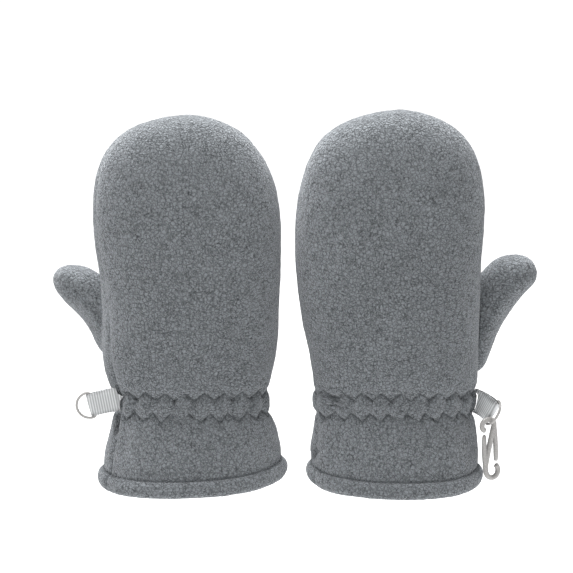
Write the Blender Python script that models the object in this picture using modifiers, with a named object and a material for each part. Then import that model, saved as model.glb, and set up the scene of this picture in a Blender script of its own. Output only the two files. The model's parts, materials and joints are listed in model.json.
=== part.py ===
"""A pair of toddler's fleece mittens, filled out as if hands were in them, with webbing tabs, D-rings and a clip.

Every size and place in the tables is in millimetres. +Z runs from the cuffs to the fingertips, the backs of the
hands face -Y, and the origin lies midway between the two wrists, at the height of the elastic.
"""

import math
from collections import namedtuple

import bmesh
import bpy
import numpy as np

MM = 0.001

# Cloth
FLEECE_WALL = 2.2
THUMB_WALL = 2.0
SEAM_GAP = 0.3
SEAM_DIP = 0.9
THUMB_SEAM_DIP = 1.1
SEAM_ROLL = 1.5
FULL_ROLL_ARC = 12.0
ROUNDNESS = 2.3
CLEARANCE = 0.46
WRIST_CLEARANCE = 0.6

# Mesh density, in columns from one side seam to the other
PANEL_COLUMNS = 20
LINING_COLUMNS = 12
THUMB_COLUMNS = 14
COLUMNS_PER_PUFF = 4
CROWDING_AT_SEAMS = 0.045
CROWDING_NEAR_SEAMS = 0.035

# Wrist elastic, sewn with two zigzag rows that gather the cloth into puffs
ELASTIC_HEIGHT = 1.2
ROW_HEIGHT = 4.2
ZIGZAG_SWING = 1.65
STITCH_PULL = 1.2
PUFF_HEIGHT = 1.25
PUFF_SLANT = 0.17
GATHER_REACH = 13.0

# Webbing, rings and clip
WEBBING_WIDTH = 10.0
WEBBING_WIDTH_AT_RING = 9.0
WEBBING_THICK = 1.0
LAYER_OFFSET = 0.66
RING_WIRE = 0.55
RING_HALF_BAR = 5.35
RING_ARM = 1.35
RING_CORNER = 1.0
CLIP_WIRE = 0.93
CLIP_GATE_WIRE = 0.87
CLIP_PLAY = 0.45
CLIP_ANGLE = 35.0
BAR_HOLE = RING_WIRE + SEAM_GAP

FLEECE_COLOUR = (0.165, 0.180, 0.192, 1.0)
WEBBING_COLOUR = (0.56, 0.57, 0.58, 1.0)
PLASTIC_COLOUR = (0.66, 0.66, 0.65, 1.0)

# A section of the body: its height at the side seams, the outline's left and right, the depth to the back of the
# hand and to the palm, the degrees by which the seams are turned, how far its middle hangs, and its sideways tilt.
Section = namedtuple("Section", "height left right front back turn drop tilt")

RIGHT_BODY = [
    Section(-23.4, -79.8, -3.2, 23.5, 22.5, 27, 4.8, 1.8),
    Section(-17.0, -78.2, -4.5, 21.6, 20.6, 26, 3.2, 1.1),
    Section(-10.8, -76.0, -6.3, 19.4, 18.4, 25, 1.7, 0.5),
    Section(-5.0, -74.7, -8.4, 17.2, 16.2, 26, 0.5, 0.2),
    Section(0.0, -74.3, -9.7, 16.4, 15.4, 27, 0, 0),
    Section(5.2, -74.8, -9.6, 16.8, 15.8, 28, 0, 0),
    Section(11.8, -77.2, -8.4, 17.6, 17.4, 28, 0, 0),
    Section(19.0, -78.9, -6.6, 18.4, 18.9, 27, 0, 0),
    Section(29.0, -79.1, -5.4, 18.7, 19.8, 26, 0, 0),
    Section(42.0, -78.6, -5.0, 18.6, 19.8, 22, 0, 0),
    Section(55.6, -80.0, -4.4, 18.2, 18.9, 18, 0, 0),
    Section(69.0, -82.2, -4.0, 17.5, 17.6, 16, 0, 0),
    Section(82.5, -82.9, -4.5, 16.6, 16.4, 15, 0, 0),
    Section(96.0, -81.5, -7.3, 15.2, 15.0, 13, 0, 0),
    Section(105.7, -77.6, -12.8, 13.5, 13.2, 11, 0, 0),
    Section(112.2, -71.8, -18.2, 11.5, 11.2, 10, 0, 0),
    Section(116.5, -64.3, -24.4, 9.2, 9.0, 9, 0, 0),
    Section(119.1, -57.0, -30.2, 6.9, 6.7, 8, 0, 0),
    Section(120.5, -50.2, -37.0, 3.9, 3.8, 8, 0, 0),
    Section(121.0, -43.5, -43.5, 0, 0, 8, 0, 0),
]

LEFT_BODY = [
    Section(-24.2, 7.2, 79.4, 23.5, 22.5, 24, 4.6, -0.7),
    Section(-17.8, 7.8, 78.6, 21.6, 20.6, 20, 3.1, -0.5),
    Section(-11.3, 9.2, 77.6, 19.4, 18.4, 16, 1.6, -0.3),
    Section(-5.2, 9.7, 76.4, 17.2, 16.2, 12, 0.5, -0.1),
    Section(0.0, 9.6, 76.2, 16.4, 15.4, 8, 0, 0),
    Section(5.2, 9.4, 77.2, 16.8, 15.8, 6, 0, 0),
    Section(11.8, 8.7, 77.9, 17.6, 17.4, 5, 0, 0),
    Section(21.9, 7.1, 78.1, 18.5, 19.1, 5, 0, 0),
    Section(32.0, 4.8, 78.4, 18.7, 19.8, 5, 0, 0),
    Section(45.5, 2.7, 78.6, 18.5, 19.6, 5, 0, 0),
    Section(58.9, 1.5, 78.9, 18.0, 18.6, 5, 0, 0),
    Section(72.4, 1.0, 80.1, 17.3, 17.3, 5, 0, 0),
    Section(85.9, 1.9, 80.5, 16.3, 16.1, 5, 0, 0),
    Section(99.4, 5.3, 78.6, 14.8, 14.6, 5, 0, 0),
    Section(109.1, 9.8, 74.5, 13.0, 12.8, 5, 0, 0),
    Section(115.2, 16.4, 68.8, 10.9, 10.7, 5, 0, 0),
    Section(119.0, 23.8, 62.6, 8.5, 8.3, 5, 0, 0),
    Section(121.6, 31.8, 56.3, 5.8, 5.7, 5, 0, 0),
    Section(122.8, 38.8, 50.8, 3.2, 3.1, 5, 0, 0),
    Section(123.1, 45.3, 45.3, 0, 0, 5, 0, 0),
]

# How wide the puffs of a gathered wrist are beside each other, from the right seam to the left one, and on a palm
# the other way round. The last one on the back of the left mitten is wide.
RIGHT_BACK_PUFFS = (0.93, 1.07, 0.97, 1.05, 0.92, 1.08, 1.01, 0.93, 1.08, 0.96)
LEFT_BACK_PUFFS = (0.90, 0.97, 0.91, 0.98, 0.92, 0.99, 0.93, 0.96, 0.90, 1.54)
PALM_PUFFS = (1.04, 0.95, 1.07, 0.96, 1.02, 0.92, 1.08, 0.97, 1.04, 0.95)

# Where the rows of the outer cloth lie, counted in rows of the tables above: the hand, then the cuff below the wrist.
HAND_ROWS = (19, 18.5, 18, 17.5, 17, 16.4, 15.8, 15, 14, 13, 12, 11, 10.3, 9.7, 9, 8.5, 8, 7.5, 7)
CUFF_ROWS = (1.35, 0.7)
LINING_ROWS = (0.7, 2, 3.4, 4.5, 6, 7.2, 8.5, 10, 12, 13.4, 14.6, 15.8, 16.8, 17.8, 18.5, 19)
ENVELOPE_ROWS = (0, 1.35, 2.6, 4, 5, 6, *HAND_ROWS[:0:-1])

# A row of the gathered wrist: its height over the elastic's middle, how much of each zigzag it follows, how far the
# stitches pull it in, and how much the puffs between the zigzags or the ripples beyond them lift it.
GatherRow = namedtuple("GatherRow", "height upper lower pull puff ripple")

GATHERS = [
    GatherRow(12.0, 0, 0, 0, 0, 0.08),
    GatherRow(9.0, 0.25, 0, 0, 0, 0.2),
    GatherRow(6.3, 0.8, 0, 0.1, 0, 0.36),
    GatherRow(ROW_HEIGHT, 1, 0, STITCH_PULL, 0, 0),
    GatherRow(2.7, 0.7, 0, 0.1, 0.7, 0),
    GatherRow(1.0, 0.2, 0, 0, 1, 0),
    GatherRow(-1.0, 0, 0.2, 0, 1, 0),
    GatherRow(-2.7, 0, 0.7, 0.1, 0.7, 0),
    GatherRow(-ROW_HEIGHT, 0, 1, STITCH_PULL, 0, 0),
    GatherRow(-6.3, 0, 0.8, 0.1, 0, 0.44),
    GatherRow(-9.0, 0, 0.25, 0, 0, 0.28),
    GatherRow(-12.0, 0, 0, 0, 0, 0.08),
]

# The turned hem, from its stitch line outside, round the fold and up to the same stitch line inside.
HemRow = namedtuple("HemRow", "down out")

HEM = [
    HemRow(0.0, -0.9),
    HemRow(1.1, 0.4),
    HemRow(3.1, 1.1),
    HemRow(5.3, 0.8),
    HemRow(6.8, -0.2),
    HemRow(7.3, -1.5),
    HemRow(6.8, -2.8),
    HemRow(4.6, -3.8),
    HemRow(1.6, -3.6),
    HemRow(-0.4, -2.8),
]
HEM_FOLD = 5

# A rib across a thumb, from its upper edge to its lower one, with the depth of its middle and its half depth.
ThumbRib = namedtuple("ThumbRib", "top_x top_z bottom_x bottom_z middle half_depth")

RIGHT_THUMB = [
    ThumbRib(-62.0, 50.0, -62.0, 19.0, 6.0, 9.4),
    ThumbRib(-72.0, 51.2, -72.5, 18.4, 6.8, 9.5),
    ThumbRib(-78.5, 52.8, -80.3, 21.0, 7.4, 9.4),
    ThumbRib(-82.0, 54.7, -83.2, 27.6, 7.9, 9.2),
    ThumbRib(-84.9, 56.3, -86.6, 33.2, 8.3, 8.8),
    ThumbRib(-88.3, 57.1, -90.7, 37.6, 8.8, 8.4),
    ThumbRib(-92.0, 57.4, -94.4, 40.9, 9.2, 7.7),
    ThumbRib(-95.5, 56.8, -97.4, 44.5, 9.4, 6.4),
    ThumbRib(-98.3, 55.2, -99.4, 47.8, 9.5, 4.2),
    ThumbRib(-100.2, 51.8, -100.2, 51.8, 9.5, 0),
]

LEFT_THUMB = [
    ThumbRib(62.0, 51.0, 62.0, 12.3, 9.8, 8.2),
    ThumbRib(72.0, 52.0, 72.5, 11.0, 10.2, 8.4),
    ThumbRib(79.3, 53.6, 80.8, 12.0, 10.5, 8.6),
    ThumbRib(82.3, 57.0, 84.2, 20.9, 10.7, 8.6),
    ThumbRib(85.4, 59.5, 87.6, 29.8, 10.9, 8.5),
    ThumbRib(88.8, 61.0, 91.3, 36.3, 11.0, 8.3),
    ThumbRib(92.4, 61.6, 94.7, 41.1, 11.0, 8.0),
    ThumbRib(96.2, 61.4, 98.0, 45.2, 11.0, 7.2),
    ThumbRib(99.9, 60.0, 101.2, 48.3, 11.0, 5.6),
    ThumbRib(102.2, 57.3, 102.8, 51.0, 11.0, 3.2),
    ThumbRib(103.2, 54.1, 103.2, 54.1, 11.0, 0),
]
THUMB_ROWS_PER_RIB = 1.5
THUMB_LINING_ROWS_PER_RIB = 0.8

# A webbing tab: where it is sewn in, the point it bends towards, the middle of its ring's bar, which way the webbing's
# width runs at both ends, and which way the ring points from its bar.
Tab = namedtuple("Tab", "root bend bar root_across bar_across ring_way")

RIGHT_TAB = Tab(
    root=(-70.0, -8.0, 3.7),
    bend=(-77.0, -9.6, 3.1),
    bar=(-82.6, -9.9, 1.5),
    root_across=(-0.05, 0.0, 1.0),
    bar_across=(-0.19, 0.0, 0.98),
    ring_way=(-0.98, 0.0, -0.19),
)

LEFT_TAB = Tab(
    root=(72.6, 1.6, 2.2),
    bend=(79.6, -2.4, 1.4),
    bar=(83.2, -8.0, -1.6),
    root_across=(0.15, 0.0, 0.99),
    bar_across=(0.438, 0.0, 0.899),
    ring_way=(0.25, -0.94, -0.22),
)

# The clip's centrelines in its own plane, right and up from the ring's wire, which hangs in its upper hook.
CLIP_FACING = (0.45, -0.893, 0.0)
CLIP_RISE = RING_WIRE + CLIP_PLAY + CLIP_WIRE
CLIP_SPINE = [
    (-1.9, -2.7),
    (-3.0, -1.9),
    (-3.3, -0.5),
    (-2.7, 1.0),
    (-1.4, 1.75),
    (0.0, CLIP_RISE),
    (1.5, 1.6),
    (2.45, 0.5),
    (2.35, -1.1),
    (1.7, -3.4),
    (0.7, -7.8),
    (-0.4, -12.6),
    (-1.1, -16.2),
    (-1.4, -18.4),
    (-1.1, -20.7),
    (0.1, -22.4),
    (1.9, -22.9),
    (3.7, -22.1),
    (4.6, -20.3),
    (4.3, -18.5),
    (3.5, -17.6),
]
CLIP_LEFT_GATE = [(-1.25, -19.3), (-2.2, -12.0), (-2.25, -4.3)]
CLIP_RIGHT_GATE = [(2.4, -0.35), (3.4, -8.0), (3.6, -16.0)]


def clear_scene():
    """Empties the scene that the script runs in."""
    for old in list(bpy.data.objects):
        bpy.data.objects.remove(old, do_unlink=True)


def new_collection(name):
    """A collection linked to the scene."""
    collection = bpy.data.collections.new(name)
    bpy.context.scene.collection.children.link(collection)
    return collection


def cloth_material(name, colour, roughness):
    """A plain Principled material of that colour and roughness."""
    material = bpy.data.materials.new(name)
    material.use_nodes = True
    shader = material.node_tree.nodes["Principled BSDF"]
    shader.inputs["Base Color"].default_value = colour
    shader.inputs["Roughness"].default_value = roughness
    shader.inputs["Metallic"].default_value = 0.0
    return material


def unit(vector):
    """The vector or vectors at length one."""
    vector = np.asarray(vector, float)
    return vector / np.linalg.norm(vector, axis=-1, keepdims=True)


def spline(rows, place):
    """The table at a fractional row, on a Catmull-Rom curve through its rows."""
    table = np.asarray(rows, float)
    first = min(int(place), len(table) - 2)
    share = place - first
    before = table[first - 1] if first else 2 * table[0] - table[1]
    after = table[first + 2] if first + 2 < len(table) else mirrored_beyond_tip(table)
    start, end = table[first], table[first + 1]
    out, back = (end - before) / 2, (after - start) / 2
    return (
        start * (2 * share**3 - 3 * share**2 + 1)
        + out * (share**3 - 2 * share**2 + share)
        + end * (3 * share**2 - 2 * share**3)
        + back * (share**3 - share**2)
    )


def mirrored_beyond_tip(table):
    """The row that would follow the tip, where the outline comes down again on the other side."""
    beyond = table[-2].copy()
    if len(beyond) == len(Section._fields):
        beyond[1], beyond[2] = table[-2][2], table[-2][1]
        beyond[3:5] *= -1
    else:
        beyond[0:2], beyond[2:4] = table[-2][2:4], table[-2][0:2]
        beyond[5] *= -1
    return beyond


def rounded(angles):
    """Cosine and sine of angles in degrees, squared off towards a rounded rectangle."""
    turn = np.radians(angles)
    cosine, sine = np.cos(turn), np.sin(turn)
    power = 2 / ROUNDNESS
    return np.sign(cosine) * abs(cosine) ** power, np.sign(sine) * abs(sine) ** power


def body_points(sections, place, angles):
    """Points of the body's outer surface at a fractional row. Angle 0 is the right side and 90 the back of the hand."""
    height, left, right, front, back, _, drop, tilt = spline(sections, place)
    across, forward = rounded(angles)
    x = (left + right) / 2 + (right - left) / 2 * across
    y = -forward * np.where(forward > 0, front, back)
    z = height + tilt * across - drop * abs(forward)
    return np.stack([x, y, z], axis=-1)


def body_normals(sections, place, angles):
    """Outward directions of the body's surface at those points."""
    step, turn = 0.02, 0.5
    low, high = max(place - step, 0), min(place + step, len(sections) - 1)
    if low > len(sections) - 1 - 2 * step:
        return np.tile((0.0, 0.0, 1.0), (len(angles), 1))
    up = body_points(sections, high, angles) - body_points(sections, low, angles)
    place = min(place, len(sections) - 1 - step)
    along = body_points(sections, place, angles + turn) - body_points(sections, place, angles - turn)
    return unit(np.cross(up, along))


def columns(count):
    """Shares of an arc from seam to seam, closer together where the cloth rolls into the seams."""
    even = np.linspace(0, 1, count + 1)
    near, at = CROWDING_NEAR_SEAMS * np.sin(4 * math.pi * even), CROWDING_AT_SEAMS * np.sin(2 * math.pi * even)
    return even - near - at


def seam_angles(sections, place, is_palm, shares, trim=SEAM_GAP / 2):
    """Angles of the points that lie at those shares of the arc between the side seams, and the arc's length."""
    turn = spline(sections, place)[5]
    start = 180.0 - turn if is_palm else -turn
    angles = np.linspace(start, start + 180, 241)
    points = body_points(sections, place, angles)
    lengths = np.concatenate([[0], np.cumsum(np.linalg.norm(np.diff(points, axis=0), axis=1))])
    whole = max(lengths[-1], 1e-6)
    edge = min(trim, whole / 2)
    wanted = edge + np.asarray(shares) * (whole - 2 * edge)
    return np.interp(wanted, lengths, angles), wanted, whole


def seam_dip(distance, whole, depth):
    """How far cloth rolls inwards at a distance along its arc, near either end of it."""
    to_edge = np.minimum(distance, whole - distance)
    return depth * np.exp(-((to_edge / SEAM_ROLL) ** 2)) * min(1.0, whole / FULL_ROLL_ARC)


def plain_row(sections, place, is_palm, count, lift=0.0, dip=SEAM_DIP, trim=SEAM_GAP / 2):
    """One row of a panel, lifted off its surface by that much."""
    angles, distance, whole = seam_angles(sections, place, is_palm, columns(count), trim)
    points = body_points(sections, place, angles)
    if whole < SEAM_GAP:
        points[:, 1] += SEAM_GAP / 2 if is_palm else -SEAM_GAP / 2
    offset = lift - seam_dip(distance, whole, dip)
    return points + body_normals(sections, place, angles) * offset[:, None]


def place_of_height(sections, height):
    """The fractional row whose height at the side seams is this."""
    heights = [section.height for section in sections]
    return float(np.interp(height, heights, range(len(heights))))


def gathered_row(sections, row, is_palm, puff_widths, extra=0.0, dip=SEAM_DIP):
    """One row of the gathered wrist, pulled in along the zigzags and puffed out between them."""
    puff_ends = np.concatenate([[0], np.cumsum(puff_widths)]) / sum(puff_widths)
    puffs = np.linspace(0, len(puff_widths), COLUMNS_PER_PUFF * len(puff_widths) + 1)
    shares = np.interp(puffs, range(len(puff_ends)), puff_ends)
    fade = 1 - abs(row.height) / GATHER_REACH
    ends = np.sin(np.pi * shares) ** 0.5
    slant = -PUFF_SLANT * (row.height / ROW_HEIGHT) * fade * ends / len(puff_widths)
    crest = 0.5 - 0.5 * np.cos(2 * np.pi * puffs)
    zigzag = ZIGZAG_SWING * (2 * crest - 1)
    rise = (row.upper - row.lower) * zigzag
    lift = PUFF_HEIGHT * (row.puff * crest + row.ripple * (1 - crest)) - row.pull
    points = []
    for share, up, out in zip(shares + slant, rise, lift):
        place = place_of_height(sections, ELASTIC_HEIGHT + row.height + up)
        angle, distance, whole = seam_angles(sections, place, is_palm, [share])
        offset = out + extra - seam_dip(distance, whole, dip) * (1 - row.pull / STITCH_PULL)
        point = body_points(sections, place, angle) + body_normals(sections, place, angle) * offset[:, None]
        points.append(point[0])
    return np.array(points)


def hem_row(sections, row, is_palm, count):
    """One row of the turned hem, laid off from the stitch line down the cuff and out from it."""
    trim = SEAM_GAP / 2 * (1 + max(0.0, -row.out) / 2)
    angles, distance, whole = seam_angles(sections, 0, is_palm, columns(count), trim)
    stitch = body_points(sections, 0, angles)
    above = body_points(sections, 1, angles)
    way_down = unit(stitch - above)
    outward = body_normals(sections, 0, angles)
    offset = row.out - seam_dip(distance, whole, 0.5 * SEAM_DIP)
    return stitch + way_down * row.down + outward * offset[:, None]


def zip_rows(faces, points, first, second):
    """Faces between two rows of point numbers: triangles across the shorter diagonal if the rows differ."""
    if len(first) == len(second):
        spans = zip(first, first[1:], second[1:], second)
        faces.extend(spans)
        return
    i = j = 0
    while i < len(first) - 1 or j < len(second) - 1:
        on_first = j == len(second) - 1
        if i < len(first) - 1 and not on_first:
            step_first = np.linalg.norm(points[first[i + 1]] - points[second[j]])
            step_second = np.linalg.norm(points[second[j + 1]] - points[first[i]])
            on_first = step_first < step_second
        if on_first:
            faces.append((first[i], first[i + 1], second[j]))
            i += 1
        else:
            faces.append((first[i], second[j + 1], second[j]))
            j += 1


def wall_mesh(name, rows, fold):
    """A closed wall from rows of points: down the outside to the row numbered fold, then up the inside."""
    vertices, numbers = [], []
    for row in rows:
        row = row[:1] if np.ptp(row, axis=0).max() < 1e-3 else row
        numbers.append(list(range(len(vertices), len(vertices) + len(row))))
        vertices.extend(row)
    faces = []
    for upper, lower in zip(numbers, numbers[1:]):
        zip_rows(faces, vertices, upper, lower)
    for end in (0, -1):
        outer = [row[end] for row in numbers[: fold + 1]]
        inner = [row[end] for row in numbers[: fold - 1 : -1]]
        side = []
        zip_rows(side, vertices, outer, inner)
        faces.extend(face for face in side if len(set(face)) == 3)
    if len(numbers[-1]) > 1:
        zip_rows(faces, vertices, numbers[-1], numbers[0])
    return mesh_of(name, vertices, faces)


def mesh_of(name, vertices, faces):
    """A mesh in metres from points in millimetres, with its faces pointing out."""
    mesh = bpy.data.meshes.new(name)
    mesh.from_pydata([tuple(np.asarray(point) * MM) for point in vertices], [], faces)
    shell = bmesh.new()
    shell.from_mesh(mesh)
    bmesh.ops.recalc_face_normals(shell, faces=shell.faces)
    shell.to_mesh(mesh)
    shell.free()
    mesh.validate()
    mesh.shade_smooth()
    return mesh


def add_object(name, mesh, material, collection):
    """An object of that mesh and material."""
    made = bpy.data.objects.new(name, mesh)
    mesh.materials.clear()
    mesh.materials.append(material)
    collection.objects.link(made)
    return made


def panel_rows(sections, is_palm, puff_widths):
    """The rows of a panel from the fingertip down outside, round the hem and up the inside."""
    outer = [plain_row(sections, place, is_palm, PANEL_COLUMNS) for place in HAND_ROWS]
    outer += [gathered_row(sections, row, is_palm, puff_widths) for row in GATHERS]
    outer += [plain_row(sections, place, is_palm, PANEL_COLUMNS) for place in CUFF_ROWS]
    hem = [hem_row(sections, row, is_palm, PANEL_COLUMNS) for row in HEM]
    inner = [
        plain_row(sections, place, is_palm, LINING_COLUMNS, lift=-FLEECE_WALL, dip=0, trim=1.5 * SEAM_GAP)
        for place in LINING_ROWS
    ]
    return outer + hem + inner, len(outer) + HEM_FOLD


def body_panel(name, sections, is_palm, puff_widths, material, collection):
    """The front or palm panel of a mitten, from cuff to fingertip in one piece, with its turned hem."""
    rows, fold = panel_rows(sections, is_palm, puff_widths)
    return add_object(name, wall_mesh(name, rows, fold), material, collection)


def body_envelope(name, sections, collection):
    """The space that a mitten's body fills, a little larger all round, to trim what is sewn onto it."""
    shares = columns(PANEL_COLUMNS)[:-1]
    rows = []
    for place in ENVELOPE_ROWS:
        angles = [seam_angles(sections, place, is_palm, shares, 0)[0] for is_palm in (False, True)]
        angles = np.concatenate(angles)
        rows.append(body_points(sections, place, angles) + CLEARANCE * body_normals(sections, place, angles))
    tip = body_points(sections, len(sections) - 1, np.array([0.0])) + (0, 0, CLEARANCE)
    return add_cutter(name, closed_tube(name, rows, rows[0].mean(axis=0), tip[0]), collection)


def wrist_envelope(name, sections, puff_widths, collection):
    """The space that a gathered wrist fills, a little larger all round."""
    rings = []
    for row in GATHERS[::-1]:
        halves = [
            gathered_row(sections, row, is_palm, widths, WRIST_CLEARANCE, 0)
            for is_palm, widths in ((False, puff_widths), (True, PALM_PUFFS))
        ]
        rings.append(np.concatenate(halves))
    return add_cutter(name, closed_tube(name, rings, rings[0].mean(axis=0), rings[-1].mean(axis=0)), collection)


def closed_tube(name, rings, start, end):
    """A solid through closed rings of as many points each, closed to a point at both ends."""
    count = len(rings[0])
    vertices = [start, *[point for ring in rings for point in ring], end]
    faces = []
    for column in range(count):
        after = (column + 1) % count
        faces.append((0, 1 + after, 1 + column))
        for ring in range(len(rings) - 1):
            low, high = 1 + ring * count, 1 + (ring + 1) * count
            faces.append((low + column, low + after, high + after, high + column))
        last = 1 + (len(rings) - 1) * count
        faces.append((last + column, last + after, len(vertices) - 1))
    return mesh_of(name, vertices, faces)


def add_cutter(name, mesh, collection):
    """A helper that cuts others and isn't part of the object."""
    cutter = bpy.data.objects.new(name, mesh)
    cutter.hide_render = True
    cutter.display_type = "WIRE"
    collection.objects.link(cutter)
    return cutter


def cut(target, cutter):
    """Takes the cutter's shape out of the target."""
    difference = target.modifiers.new("cut_" + cutter.name, "BOOLEAN")
    difference.operation = "DIFFERENCE"
    difference.object = cutter


def thumb_points(ribs, place, angles):
    """Points of a thumb's outer surface at a fractional rib. Angle 0 is its front and 90 its upper edge."""
    top_x, top_z, bottom_x, bottom_z, middle, half_depth = spline(ribs, place)
    turn = np.radians(angles)
    upward, depth = np.sin(turn), -np.cos(turn)
    x = (top_x + bottom_x) / 2 + (top_x - bottom_x) / 2 * upward
    z = (top_z + bottom_z) / 2 + (top_z - bottom_z) / 2 * upward
    y = middle + half_depth * depth
    return np.stack([x, y, z], axis=-1)


def thumb_normals(ribs, place, angles):
    """Outward directions of a thumb's surface at those points."""
    step, turn = 0.02, 0.5
    last = len(ribs) - 1
    if place > last - step:
        tip = thumb_points(ribs, last, np.array([0.0])) - thumb_points(ribs, last - 0.5, np.array([0.0]))
        tip[0][1] = 0
        return np.tile(unit(tip[0]), (len(angles), 1))
    along = thumb_points(ribs, place + step, angles) - thumb_points(ribs, max(place - step, 0), angles)
    around = thumb_points(ribs, place, angles + turn) - thumb_points(ribs, place, angles - turn)
    outward = unit(np.cross(along, around))
    middle = thumb_points(ribs, place, np.array([90.0, 270.0])).mean(axis=0)
    sense = np.sign(np.sum(outward * (thumb_points(ribs, place, angles) - middle), axis=1))
    return outward * sense[:, None]


def thumb_row(ribs, place, is_lower, count, lift=0.0, dip=THUMB_SEAM_DIP):
    """One row of a thumb's upper or lower half, from its front seam to its back seam."""
    angles = np.linspace(360, 180, 121) if is_lower else np.linspace(0, 180, 121)
    points = thumb_points(ribs, place, angles)
    lengths = np.concatenate([[0], np.cumsum(np.linalg.norm(np.diff(points, axis=0), axis=1))])
    whole = max(lengths[-1], 1e-6)
    edge = min(SEAM_GAP / 2, whole / 2)
    distance = edge + columns(count) * (whole - 2 * edge)
    wanted = np.interp(distance, lengths, angles)
    offset = lift - seam_dip(distance, whole, dip)
    return thumb_points(ribs, place, wanted) + thumb_normals(ribs, place, wanted) * offset[:, None]


def rib_places(ribs, per_rib):
    """Fractional ribs from the tip to the base, with that many rows to a rib."""
    last = len(ribs) - 1
    return np.linspace(last, 0, int(round(last * per_rib)) + 1)


def thumb_half(name, ribs, is_lower, material, collection):
    """The upper or lower half of a thumb, a wall that runs on into the body until it is trimmed."""
    outer = [
        thumb_row(ribs, place, is_lower, THUMB_COLUMNS) for place in rib_places(ribs, THUMB_ROWS_PER_RIB)
    ]
    inner = [
        thumb_row(ribs, place, is_lower, THUMB_COLUMNS // 2, lift=-THUMB_WALL, dip=0)
        for place in rib_places(ribs, THUMB_LINING_ROWS_PER_RIB)[::-1]
    ]
    rows = outer + inner
    return add_object(name, wall_mesh(name, rows, len(outer) - 1), material, collection)


def thumb_bore(name, ribs, collection):
    """The hollow of a thumb, which is also the hole in the palm that the thumb is sewn round."""
    angles = np.arange(0, 360, 15.0)
    rings = [
        thumb_points(ribs, place, angles) - THUMB_WALL * thumb_normals(ribs, place, angles)
        for place in rib_places(ribs, 1)[2:][::-1]
    ]
    return add_cutter(name, closed_tube(name, rings, rings[0].mean(axis=0), rings[-1].mean(axis=0)), collection)


def bezier(start, middle, end, share):
    """A point and a direction on a quadratic curve."""
    start, middle, end = (np.asarray(point, float) for point in (start, middle, end))
    point = start * (1 - share) ** 2 + 2 * middle * share * (1 - share) + end * share**2
    return point, unit(2 * (1 - share) * (middle - start) + 2 * share * (end - middle))


def tab_layer(tab, side):
    """Centre points and widthways directions of one layer of the folded webbing, from the seam to the bar."""
    hold = BAR_HOLE + WEBBING_THICK / 2
    layer = []
    for share in np.linspace(0, 1, 8):
        point, forward = bezier(tab.root, tab.bend, tab.bar, share)
        across = unit((1 - share) * np.array(tab.root_across) + share * np.array(tab.bar_across))
        across = unit(across - forward * np.dot(across, forward))
        spread = np.clip((share - 0.55) / 0.45, 0, 1)
        offset = LAYER_OFFSET + (hold - LAYER_OFFSET) * spread**2 * (3 - 2 * spread)
        layer.append((point + side * offset * unit(np.cross(forward, across)), across))
    return layer


def webbing_tab(name, tab, material, collection):
    """A strip of webbing folded round a ring's bar, both ends sewn into the side seam."""
    hold = BAR_HOLE + WEBBING_THICK / 2
    _, forward = bezier(tab.root, tab.bend, tab.bar, 1)
    across = unit(np.array(tab.bar_across) - forward * np.dot(tab.bar_across, forward))
    outward = unit(np.cross(forward, across))
    bar = np.array(tab.bar)
    turns = np.radians(np.arange(60, -61, -30))
    fold = [(bar + hold * (math.sin(t) * outward + math.cos(t) * forward), across) for t in turns]
    strip = tab_layer(tab, 1) + fold + tab_layer(tab, -1)[::-1]
    vertices, faces = [], []
    for place, (point, way) in zip(np.linspace(-1, 1, len(strip)), strip):
        half = (WEBBING_WIDTH * abs(place) + WEBBING_WIDTH_AT_RING * (1 - abs(place))) / 2
        vertices += [point - way * half, point + way * half]
    for row in range(len(strip) - 1):
        faces.append((2 * row, 2 * row + 1, 2 * row + 3, 2 * row + 2))
    made = add_object(name, mesh_of(name, vertices, faces), material, collection)
    thickness = made.modifiers.new("webbing_thickness", "SOLIDIFY")
    thickness.thickness = WEBBING_THICK * MM
    thickness.offset = 0
    return made


def ring_frame(tab):
    """The middle of a ring's bar, the way along the bar and the way that the ring points."""
    _, forward = bezier(tab.root, tab.bend, tab.bar, 1)
    along = unit(np.array(tab.bar_across) - forward * np.dot(tab.bar_across, forward))
    way = np.array(tab.ring_way)
    return np.array(tab.bar), along, unit(way - along * np.dot(way, along))


def ring_outline(tab):
    """The centreline of a D-ring: its bar, two short arms and a half circle."""
    bar, along, way = ring_frame(tab)
    arc = [
        (RING_HALF_BAR * math.cos(t), RING_ARM + RING_HALF_BAR * math.sin(t))
        for t in np.radians(np.arange(0, 181, 12))
    ]
    corner = [
        (RING_HALF_BAR - RING_CORNER + RING_CORNER * math.cos(t), RING_CORNER - RING_CORNER * math.sin(t))
        for t in np.radians((90, 60, 30))
    ]
    other = [(-a, d) for a, d in corner[::-1]]
    return [bar + along * a + way * d for a, d in corner + arc + other]


def wire(name, origin, points, radius, closed, material, collection):
    """A curve with a round bevel along those points, with its own origin where it swings."""
    curve = bpy.data.curves.new(name, "CURVE")
    curve.dimensions = "3D"
    line = curve.splines.new("POLY")
    line.points.add(len(points) - 1)
    for slot, point in zip(line.points, points):
        slot.co = (*((np.asarray(point) - origin) * MM), 1)
    line.use_cyclic_u = closed
    curve.bevel_depth = radius * MM
    curve.bevel_resolution = 2
    curve.use_fill_caps = not closed
    curve.materials.append(material)
    made = bpy.data.objects.new(name, curve)
    made.location = origin * MM
    collection.objects.link(made)
    return made


def smooth_line(points, per_span):
    """More points on a Catmull-Rom curve through these."""
    table = np.asarray(points, float)
    padded = np.vstack([2 * table[0] - table[1], table, 2 * table[-1] - table[-2]])
    line = []
    for first in range(len(table) - 1):
        before, start, end, after = padded[first : first + 4]
        for share in np.arange(per_span) / per_span:
            line.append(
                0.5
                * (
                    2 * start
                    + (end - before) * share
                    + (2 * before - 5 * start + 4 * end - after) * share**2
                    + (3 * start - before - 3 * end + after) * share**3
                )
            )
    return [*line, table[-1]]


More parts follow.
